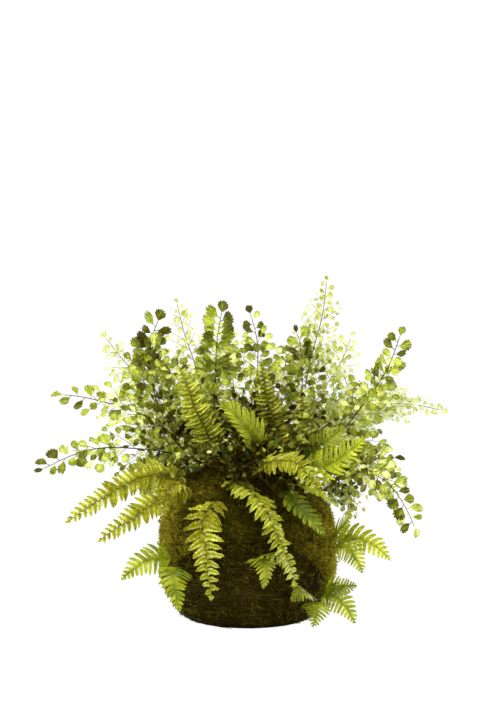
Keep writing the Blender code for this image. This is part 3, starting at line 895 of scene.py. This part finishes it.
def wrap_edge(angle):
    """The sheet moss's lower edge: high across the front, low at the sides and the back."""
    front = max(0, -math.sin(angle)) ** 1.5
    ripple = (7 * math.sin(5 * angle + 0.6) + 4 * math.sin(9 * angle)) * MM
    return WRAP_SIDE_EDGE + (WRAP_FRONT_EDGE - WRAP_SIDE_EDGE) * front + ripple * (1 - 0.6 * front)


def wrap_thickness(spot, share):
    """How far the sheet moss stands off the wall, thin and ragged at its edges."""
    envelope = min(1, share / 0.16) ** 0.5 * min(1, (1 - share) / 0.10) ** 0.5
    lump = 1 + 0.42 * lumps(spot, 17 * MM, 5.0) + 0.22 * lumps(spot, 6 * MM, 8.0)
    return (0.4 * MM + WRAP_THICKNESS * lump * envelope) if 0 < share < 1 else 0.2 * MM


def make_sheet_moss(material):
    """The sheet of moss over the basket's shoulder and sides, as a closed band."""
    turns, rows, gap = 300, 40, 0.8 * MM
    points = []
    for turn in range(turns):
        angle = math.tau * turn / turns
        spot = polar(0.1, 0, angle)
        ragged = 3.2 * MM * lumps(spot, 9 * MM, 11.0) + 1.6 * MM * lumps(spot, 3.2 * MM, 12.0)
        low = wrap_edge(angle) + ragged
        for row in range(rows + 1):
            z = low + (WRAP_TOP - low) * row / rows
            thick = wrap_thickness(polar(basket_radius(z), z, angle), row / rows)
            points.append(polar(basket_radius(z) + gap + thick, z, angle))
        for row in range(8, -1, -1):
            z = low + (WRAP_TOP - low) * row / 8
            points.append(polar(basket_radius(z) - gap, z, angle))
    mesh = mesh_of("sheet_moss", points, patches(0, turns, rows + 10, ring=True, loop=True))
    return link_object("sheet_moss", mesh, material)


def mound_point(radius, height, angle):
    spot = polar(radius, height, angle)
    if height < MOUND_RIM:
        return spot
    out = Vector((spot.x, spot.y, spot.z - 0.08)).normalized()
    return spot + out * (2.0 * MM * lumps(spot, 22 * MM, 21.0) + 0.9 * MM * lumps(spot, 7 * MM, 22.0))


def make_mound(material):
    under = [(0, 170 * MM), (45 * MM, 160 * MM), (78 * MM, 139 * MM)]
    shares = [math.sin(math.pi / 2 * i / 34) for i in range(34, -1, -1)]
    rings = under + [(MOUND_RADIUS * s, mound_height(MOUND_RADIUS * s)) for s in shares]
    return link_object("moss_cushion", lathe("moss_cushion", rings, 150, mound_point), material)


def scattered(name, skin, cover, tree, sizes):
    """Shoots over a copy of a mesh: cover(point, radius) is the share of the tree's density there."""
    shares = [cover(vertex.co, math.hypot(vertex.co.x, vertex.co.y)) for vertex in skin.vertices]
    skin = skin.copy()
    skin.attributes.new("cover", "FLOAT", "POINT").data.foreach_set("value", shares)
    made = shape_by(link_object(name, skin), tree, sizes)
    spots = np.empty(len(made.data.vertices) * 3, np.float32)
    made.data.vertices.foreach_get("co", spots)
    spots[2::3] = np.maximum(spots[2::3], 0.3 * MM)
    made.data.vertices.foreach_set("co", spots)
    return made


def bearing(point, radius):
    """How far round to the side a point of the basket is: 0 in front, 1 at the sides."""
    return abs(point.x) / (radius or 1.0)


def on_wall(point, radius):
    """Whether a point is on the outside of the wall."""
    return point.z >= 1.5 * MM and radius >= basket_radius(max(point.z, 0)) - 3 * MM


def wall_cover(point, radius):
    """Moss on the wall: thick at the sides and under the shoulder, patchy in front."""
    patch = 0.5 + 0.9 * lumps(point, 20 * MM, 31.0)
    back = 0.6 if point.y > 0 else 0
    upper = 0.45 * max(0, point.z - 0.09) / 0.04
    thick = min(1.0, 0.18 + 0.75 * bearing(point, radius) ** 2.2 + upper + back)
    return thick * max(0.1, patch) if on_wall(point, radius) else 0


def root_cover(point, radius):
    """Rootlets cover the whole of the wall, thinner where the moss is thick."""
    return 1.0 - 0.35 * bearing(point, radius) ** 2 if on_wall(point, radius) else 0


def outer_cover(point, radius):
    """Only what looks outwards: the sheet moss's outer face."""
    return 1.0 if radius > basket_radius(point.z) + 0.7 * MM else 0


def mound_cover(point, radius):
    return 1.0 if point.z > MOUND_RIM - 1 * MM else 0


# ------------ materials


def linear(hexa):
    """An sRGB hex colour as the linear values that a socket takes."""
    parts = [int(hexa[i : i + 2], 16) / 255 for i in (0, 2, 4)]
    return [c / 12.92 if c <= 0.04045 else ((c + 0.055) / 1.055) ** 2.4 for c in parts] + [1.0]


def new_material(name, rough, gloss, sheen="FFFFFF"):
    """A material, its tree and its shader. gloss is how strong its highlights are, sheen their tint."""
    made = bpy.data.materials.new(name)
    made.use_nodes = True
    shader = made.node_tree.nodes["Principled BSDF"]
    even = {"Roughness": rough, "Specular IOR Level": gloss, "Specular Tint": linear(sheen)}
    feed(made.node_tree, shader, even)
    return made, made.node_tree, shader


def ramp(factor, stops):
    colour = add(factor.tree, "ShaderNodeValToRGB", {0: factor})
    cells = colour.socket.node.color_ramp.elements
    while len(cells) < len(stops):
        cells.new(0.5)
    for cell, (place, hexa) in zip(cells, stops):
        cell.position, cell.color = place, linear(hexa)
    return colour


def mottle(tree, period, detail=3.0, rough=0.55, stretch=(1, 1, 1)):
    """Noise from 0 to 1 in Object coordinates, whose lumps are about one period apart, in metres."""
    where = add(tree, "ShaderNodeTexCoord", output="Object")
    place = add(tree, "ShaderNodeMapping", {"Vector": where, "Scale": stretch})
    grain = {"Vector": place, "Scale": 1 / period, "Detail": detail, "Roughness": rough}
    return add(tree, "ShaderNodeTexNoise", grain)


def attribute(tree, name):
    return add(tree, "ShaderNodeAttribute", output="Fac", attribute_name=name)


def relief(height, distance, strength=1.0):
    """A bump of that height in metres."""
    rise = {"Height": height, "Distance": distance, "Strength": strength}
    return add(height.tree, "ShaderNodeBump", rise)


def fade(value, low, high, start, end):
    """From start, where a value is at low or under it, to end, where it is at high or over it."""
    return add(value.tree, "ShaderNodeMapRange", {0: value, 1: low, 2: high, 3: start, 4: end})


def blend(share, a, b, way="MIX"):
    return add(a.tree, "ShaderNodeMix", {0: share, 6: a, 7: b}, 2, data_type="RGBA", blend_type=way)


def let_through(tree, shader, share, light):
    """Lets a share of the light through a thin leaf or shoot; light is the translucent shader's inputs."""
    through = add(tree, "ShaderNodeBsdfTranslucent", light)
    both = add(tree, "ShaderNodeMixShader", {0: share, 1: Out(shader.outputs[0]), 2: through})
    feed(tree, tree.nodes["Material Output"], {"Surface": both})


def leaf_material(name, stops, margin, veins, glow, finish, painted_highlight, midrib=None, base=None):
    """A fern leaflet: its tone picks a colour from aged to young, and where the stalks' tone is set by
    place, from painted shade to painted light. margin, midrib and base are what its edge, middle and foot
    are coloured, and base is painted shade; veins run along it, or across it if they are under 0; glow is
    how much light comes through it and its tint; painted_highlight is how pale its streaks of painted
    highlight are. u is 0 at the leaflet's base, v runs across it."""
    made, tree, shader = new_material(name, *finish)
    u = add(tree, "ShaderNodeSeparateXYZ", {0: add(tree, "ShaderNodeUVMap", uv_map="UVMap")})
    v = u.other(1)
    long, across = (u, v) if veins > 0 else (v, u)
    tone = attribute(tree, "tone") * 0.42 + 0.5
    colour = ramp(tone + (mottle(tree, 9 * MM, 2.0) * 0.5 - 0.25), stops)
    place = add(tree, "ShaderNodeCombineXYZ", {
        0: across * (2.4 * abs(veins)), 1: long * 1.3,
        2: attribute(tree, "odd") * 37.0 + mottle(tree, 25 * MM) * 6.0,
    })
    streak = add(tree, "ShaderNodeTexNoise", {"Vector": place, "Scale": 1.0, "Detail": 2.0})
    shade = mottle(tree, 1.6 * MM, 3.0) * 0.4 + (streak * 1.1 + 0.24)
    colour = blend(1.0, colour, shade, "MULTIPLY")
    # painted highlight: pale streaks laid over the lighter leaflets, where a glint of light would be
    highlight_share = fade(streak, 0.46, 0.66, 0.0, painted_highlight) * calc("MAXIMUM", tone, 0.0) ** 1.5
    colour = blend(highlight_share, colour, linear("F2F4DC"))
    share, hexa = margin
    colour = blend(fade(u, 0.62, 1.0, 0.0, share), colour, linear(hexa))
    # painted shade: the foot of each leaflet is darkened where it meets the stalk
    if base:
        colour = blend(fade(u, 0.0, 0.4, 0.55, 0.0), colour, linear(base))
    if midrib:
        wide, hexa = midrib
        colour = blend(fade(calc("ABSOLUTE", v - 0.5), 0.0, wide, 0.85, 0.0), colour, linear(hexa))
    stripes = calc("SINE", across * (math.tau * abs(veins)))
    bump = relief(mottle(tree, 2.2 * MM, 2.0) * 0.8 + stripes * 0.35, 0.25 * MM, 0.7)
    feed(tree, shader, {"Base Color": colour, "Normal": bump})
    through, hexa = glow
    lit = blend(1.0, colour, linear(hexa), "MULTIPLY")
    let_through(tree, shader, through, {"Color": lit, "Normal": bump})
    return made


def plain_material(name, stops, period, rough, bump, stretch=(1, 1, 1), by=None):
    """A surface coloured by noise, or by an attribute of the mesh with noise added, and roughened."""
    made, tree, shader = new_material(name, rough, 0.04, "F0E490")
    grain = mottle(tree, period, 4.0, 0.6, stretch)
    factor = attribute(tree, by) + (grain * 0.3 - 0.15) if by else grain
    rise = relief(mottle(tree, period / 3, 3.0, 0.6, stretch), bump)
    feed(tree, shader, {"Base Color": ramp(factor, stops), "Normal": rise})
    return made


def stalk_material(name, thin, thick, rough):
    """A wiry stalk: thickness, the tube's radius, takes its colour from the thin ends' to the foot's."""
    made, tree, shader = new_material(name, rough, 0.08, "F0E8B0")
    radius = attribute(tree, "thickness") * (1 / MM)
    colour = ramp(radius + (mottle(tree, 9 * MM) * 0.3 - 0.15), [(0.34, thin), (0.62, thick)])
    feed(tree, shader, {"Base Color": colour, "Normal": relief(mottle(tree, 3 * MM), 0.05 * MM)})
    return made


def moss_material(name):
    """Moss shoots: dark at the foot, olive higher up, greener in random patches and lighter and greener at
    the basket's sides, which is painted light, some of them brown.
    """
    made, tree, shader = new_material(name, 0.85, 0.12, "E6F09A")
    x = add(tree, "ShaderNodeSeparateXYZ", {0: add(tree, "ShaderNodeTexCoord", output="Object")})
    # painted light: the shoots turn lighter and greener towards the basket's sides, as if lit from there
    aside = (calc("ABSOLUTE", x) * 9.6) ** 3.0
    patchy_and_side_lit = mottle(tree, 30 * MM, 2.0) * 0.7 + aside * 0.65
    height = attribute(tree, "height")
    dull = ramp(height, [(0.0, "100C00"), (0.5, "2C2602"), (1.0, "524C0C")])
    green = ramp(height, [(0.0, "201A00"), (0.5, "6C6608"), (1.0, "B6AC34")])
    colour = blend(fade(patchy_and_side_lit, 0.25, 0.95, 0.0, 1.0), dull, green)
    browner = calc("GREATER_THAN", attribute(tree, "odd"), 0.7) * 0.6
    colour = blend(browner, colour, linear("4A3206"))
    feed(tree, shader, {"Base Color": colour})
    let_through(tree, shader, 0.25, {"Color": colour})
    return made


def make_materials():
    """All the materials by key. A leaf's finish is its roughness, its gloss and the tint of its gloss."""
    return {
        # Adiantum leaflets: a thin matt leaf, olive when grown, wine-brown when old, grey-green when young
        "maidenhair": leaf_material(
            "maidenhair_leaf_green",
            [(0.0, "201400"), (0.18, "3C3C00"), (0.42, "768000"), (0.57, "9CA42C"), (0.73, "C4C982"),
             (1.0, "EAEDCC")],
            margin=(0.46, "3A2E04"), veins=7, painted_highlight=0.6,
            glow=(0.34, "F8FFDC"), finish=(0.55, 0.02, "E4EC80")),
        # the small-leaved maidenhair: paler, almost grey-green
        "fine_maidenhair": leaf_material(
            "fine_maidenhair_leaf_pale_green",
            [(0.0, "4A3E00"), (0.3, "747A18"), (0.6, "9EA456"), (1.0, "CCD0A8")],
            margin=(0.32, "6A6414"), veins=5, painted_highlight=0.5,
            glow=(0.34, "F8FFF0"), finish=(0.5, 0.03, "EEF4B0")),
        # Nephrolepis leaflets: yellow-green, brown towards the old end, darker along the middle, and with
        # painted shade at the foot of each leaflet
        "sword_fern": leaf_material(
            "sword_fern_leaf_yellow_green",
            [(0.0, "4A3400"), (0.25, "6A6400"), (0.5, "8E9004"), (0.75, "AEB220"), (1.0, "CED470")],
            margin=(0.30, "5A4600"), veins=-7, painted_highlight=0.40, midrib=(0.24, "525400"), base="342E00",
            glow=(0.28, "FAFFC0"), finish=(0.45, 0.08, "E8EA90")),
        # leather fern: thicker leaf with a satin face, a darker midrib
        "leather_fern": leaf_material(
            "leather_fern_leaf_bright_green",
            [(0.0, "2A3400"), (0.3, "525E00"), (0.55, "7E8400"), (0.8, "A4A814"), (1.0, "CCCE66")],
            margin=(0.12, "4A5600"), veins=-5, painted_highlight=0.15, midrib=(0.10, "465200"),
            glow=(0.30, "FAFFB4"), finish=(0.38, 0.22, "F4F8C8")),
        # wiry stalks: polished purple-black feet and olive ends on the maidenhairs, straw on the sword fern
        "maidenhair_stalk": stalk_material("maidenhair_stalk_purple_black", "44461C", "140E02", 0.45),
        "fine_maidenhair_stalk": stalk_material("fine_maidenhair_stalk_brown", "70744A", "1E1604", 0.45),
        "sword_fern_stalk": stalk_material("sword_fern_stalk_straw_brown", "5C5008", "2A2004", 0.55),
        # the wall's core: peat-dark fibre that shows only in the gaps
        "wall": plain_material(
            "basket_wall_dark_fibre", [(0.25, "0E0900"), (0.6, "1C1401"), (0.85, "2E2406")],
            5 * MM, 0.9, 0.6 * MM, (1, 1, 3)),
        # wound twigs: dark bark, greyer and lighter on some
        "twig": plain_material(
            "twig_bark_brown", [(0.2, "120D00"), (0.55, "261E04"), (0.85, "4C4418")],
            26 * MM, 0.75, 0.1 * MM, (1, 1, 2)),
        # dry rootlets felted over the twigs
        "rootlet": plain_material(
            "rootlet_dry_olive", [(0.1, "161000"), (0.55, "40380A"), (0.85, "584E1A"), (1.0, "6E6432")],
            8 * MM, 0.8, 0.05 * MM, by="odd"),
        # shoots of sheet moss and cushion moss
        "moss": moss_material("moss_shoots_olive"),
        # the moss's own felt under its shoots
        "moss_felt": plain_material(
            "moss_felt_olive_brown", [(0.25, "120E00"), (0.55, "282202"), (0.85, "443E06")],
            7 * MM, 0.92, 0.9 * MM),
        # peat potting soil, under the moss
        "soil": plain_material(
            "peat_soil_dark_brown", [(0.3, "120C07"), (0.7, "33231A")], 4 * MM, 0.95, 0.5 * MM),
        # the pot liner: dull black nursery plastic
        "liner": plain_material(
            "pot_liner_black_plastic", [(0.4, "151515"), (0.6, "1F1F1F")], 30 * MM, 0.5, 0.02 * MM),
    }


# ------------ stage


def seen_or_not(tree, seen, otherwise):
    """One strength for what the camera sees directly and another for every other ray."""
    ray = add(tree, "ShaderNodeLightPath", output="Is Camera Ray")
    return add(tree, "ShaderNodeMix", {0: ray, 2: otherwise, 3: seen}, data_type="FLOAT")


def make_stage():
    """A white floor, a white world that is weaker in front, and soft lights from behind and above. The
    camera sees the floor's own glow, so that it is white behind the thinnest stalk."""
    made, tree, shader = new_material("white_floor_paper", 1.0, 0.0)
    grey = seen_or_not(tree, 0.02, 0.9)
    glow = seen_or_not(tree, 1.0, 0.15)
    feed(tree, shader, {"Base Color": grey, "Emission Color": linear("FFFFFF"), "Emission Strength": glow})
    corners = [(-6, -6, 0), (6, -6, 0), (6, 14, 0), (-6, 14, 0)]
    link_object("floor", mesh_of("floor", corners, [(0, 1, 2, 3)]), made)

    world = bpy.data.worlds.new("white_room")
    world.use_nodes = True
    bpy.context.scene.world = world
    tree = world.node_tree
    tree.nodes.clear()
    way = add(tree, "ShaderNodeTexCoord", output="Generated")
    behind = fade(add(tree, "ShaderNodeSeparateXYZ", {0: way}, 1), -1.0, 1.0, 0.28, 0.85)
    sky = {"Color": linear("FFFFFF"), "Strength": seen_or_not(tree, 1.05, behind)}
    add(tree, "ShaderNodeOutputWorld", {0: add(tree, "ShaderNodeBackground", sky)})

    # name, place, size, watts: area lights aimed at the middle of the basket's mouth
    lights = [
        ("back_left", (-1.1, 0.9, 0.9), 0.8, 35), ("back_right", (1.1, 0.9, 0.9), 0.8, 50),
        ("key", (-0.35, -0.55, 1.5), 0.7, 51), ("front_fill", (0.8, -1.6, 0.7), 1.1, 8),
    ]
    for name, place, size, power in lights:
        light = bpy.data.lights.new(name, "AREA")
        light.size, light.energy = size, power
        lamp = link_object(name, light)
        lamp.location = place
        aim = Vector((0, 0, 0.16)) - lamp.location
        lamp.rotation_euler = aim.to_track_quat("-Z", "Y").to_euler()
    bpy.context.scene.view_settings.view_transform = "Standard"


def make_camera():
    """A long lens level with the leaves, tipped down a little."""
    data = bpy.data.cameras.new("camera")
    data.lens, data.sensor_width, data.clip_start = 79.15, 36, 0.05
    camera = link_object("camera", data)
    camera.location = (-0.0096, -1.9, 0.4387)
    camera.rotation_euler = (math.radians(86.1), 0, 0)
    bpy.context.scene.camera = camera


# ------------ the whole


def belongs(piece, slot, node):
    """A piece that rides on the arrangement, in the place of a CAD node, which is hidden. slot is not used.
    """
    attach(piece, "root")
    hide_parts(node)


def plant(materials, shapes, tubes):
    """All the fronds, in the order of the model's nodes, and the undergrowth."""
    given = frond_tree(tubes), shapes, materials
    rng, numbers = random.Random(FROND_SEED), {}
    for habit, rows in PLANTS.items():
        kind = "leather_fern" if habit in CUTS else habit
        for row in rows:
            numbers[kind] = numbers.get(kind, 0) + 1
            node = f"{kind}_frond_{numbers[kind]:02d}"
            frond = Frond(habit, *row)
            if habit in CUTS:
                grown = make_leather_frond(node + "_leaf", frond, materials[kind], rng)
            else:
                grown = make_stalk_piece(node + "_leaf", habit, [frond], *given, rng)
            belongs(grown, kind + "_leaf", node)
    rng = random.Random(SPRAY_SEED)
    sprays = make_stalk_piece("mound_undergrowth", "undergrowth", undergrowth(rng), *given, rng)
    belongs(sprays, "maidenhair_leaf", "moss_mound")


def make_moss(materials, shapes, tubes):
    """The basket's wall and twigs, the sheet moss and the mound, with their rootlets and shoots."""
    tree = scatter_tree()
    level = {"Turn": math.pi / 2, "Turn Spread": 0.85}  # rootlets lie round the wall rather than up it

    def strew(name, skin, cover, slot, node, dense, size, vary, lean, seed, kind="tufts", finish="moss"):
        """Shoots on a skin, dense of them on a square metre where cover is 1."""
        made = scattered(name, skin.data, cover, tree, {
            "Density": dense, "Size": size, "Size Spread": vary, "Lean": lean, "Seed": seed,
            "Collection": shapes[kind], "Shapes": len(shapes[kind].objects), "Blade": materials[finish],
            **(level if kind == "rootlets" else {}),
        })
        belongs(made, slot, node)

    wall = make_basket_wall(materials["wall"])
    belongs(wall, "twigs", "twig_basket")
    belongs(make_twigs(materials["twig"], tubes, random.Random(TWIG_SEED)), "twigs", "twig_basket")
    strew("felted_rootlets", wall, root_cover, "twigs", "twig_basket", 100000.0, 0.0092, 0.5, 0.35, 3,
          "rootlets", "rootlet")
    strew("wall_moss_shoots", wall, wall_cover, "moss", "twig_basket", 150000.0, 0.0030, 0.5, 0.8, 5)
    sheet = make_sheet_moss(materials["moss_felt"])
    belongs(sheet, "moss", "moss_wrap")
    strew("sheet_moss_shoots", sheet, outer_cover, "moss", "moss_wrap", 150000.0, 0.0037, 0.5, 0.8, 8)
    mound = make_mound(materials["moss_felt"])
    belongs(mound, "moss", "moss_mound")
    strew("mound_moss_shoots", mound, mound_cover, "moss", "moss_mound", 90000.0, 0.0040, 0.4, 0.7, 13)


def finish_cad(frame, materials):
    """What stays as the model has it, inside the basket."""
    for node, key in (("pot_liner", "liner"), ("potting_soil", "soil")):
        mesh = frame["nodes"][node].data
        mesh.materials.clear()
        mesh.materials.append(materials[key])


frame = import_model()
make_camera()
make_stage()
materials = make_materials()
shapes = make_leaflet_sets()
tubes = tubes_tree()
plant(materials, shapes, tubes)
make_moss(materials, shapes, tubes)
finish_cad(frame, materials)
